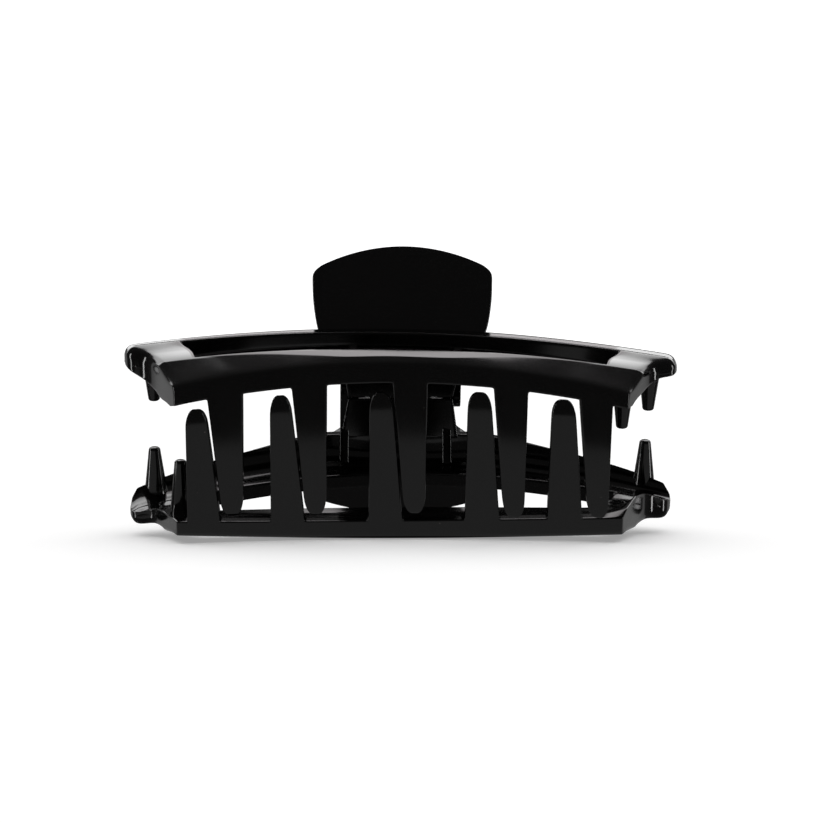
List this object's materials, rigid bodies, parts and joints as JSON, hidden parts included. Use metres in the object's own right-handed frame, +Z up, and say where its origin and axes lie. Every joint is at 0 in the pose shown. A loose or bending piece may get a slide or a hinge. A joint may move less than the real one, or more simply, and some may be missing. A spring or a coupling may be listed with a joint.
{
  "type": "claw clip",
  "caption": "Hair claw clip: two curved, windowed jaws with meshing teeth, hinged on a pin and closed by a coiled spring between the thumb paddles.",
  "frame": {"origin": "middle of the bounding box's bottom face, on the surface the clip rests on", "axes": "+X along the clip, +Y back from the teeth to the hinge and paddles, +Z up"},
  "size_m": [0.0882, 0.0574, 0.0477],
  "materials": {
    "black_plastic": "gloss",
    "steel_pin": "satin",
    "spring_steel": "satin"
  },
  "bodies": {
    "lower": {"lower_jaw": "black_plastic", "hinge_pin": "steel_pin", "torsion_spring": "spring_steel"},
    "upper": {"upper_jaw": "black_plastic"}
  },
  "joints": [
    {"name": "jaw_hinge", "type": "hinge", "parent": "lower", "child": "upper", "pos_m": [0, 0.01549, 0.02247], "axis": [-1, 0, 0], "range_deg": [0, 75], "stiffness_Nm_per_rad": 0.05, "springref_deg": -34.38, "deforming": ["torsion_spring"]}
  ]
}
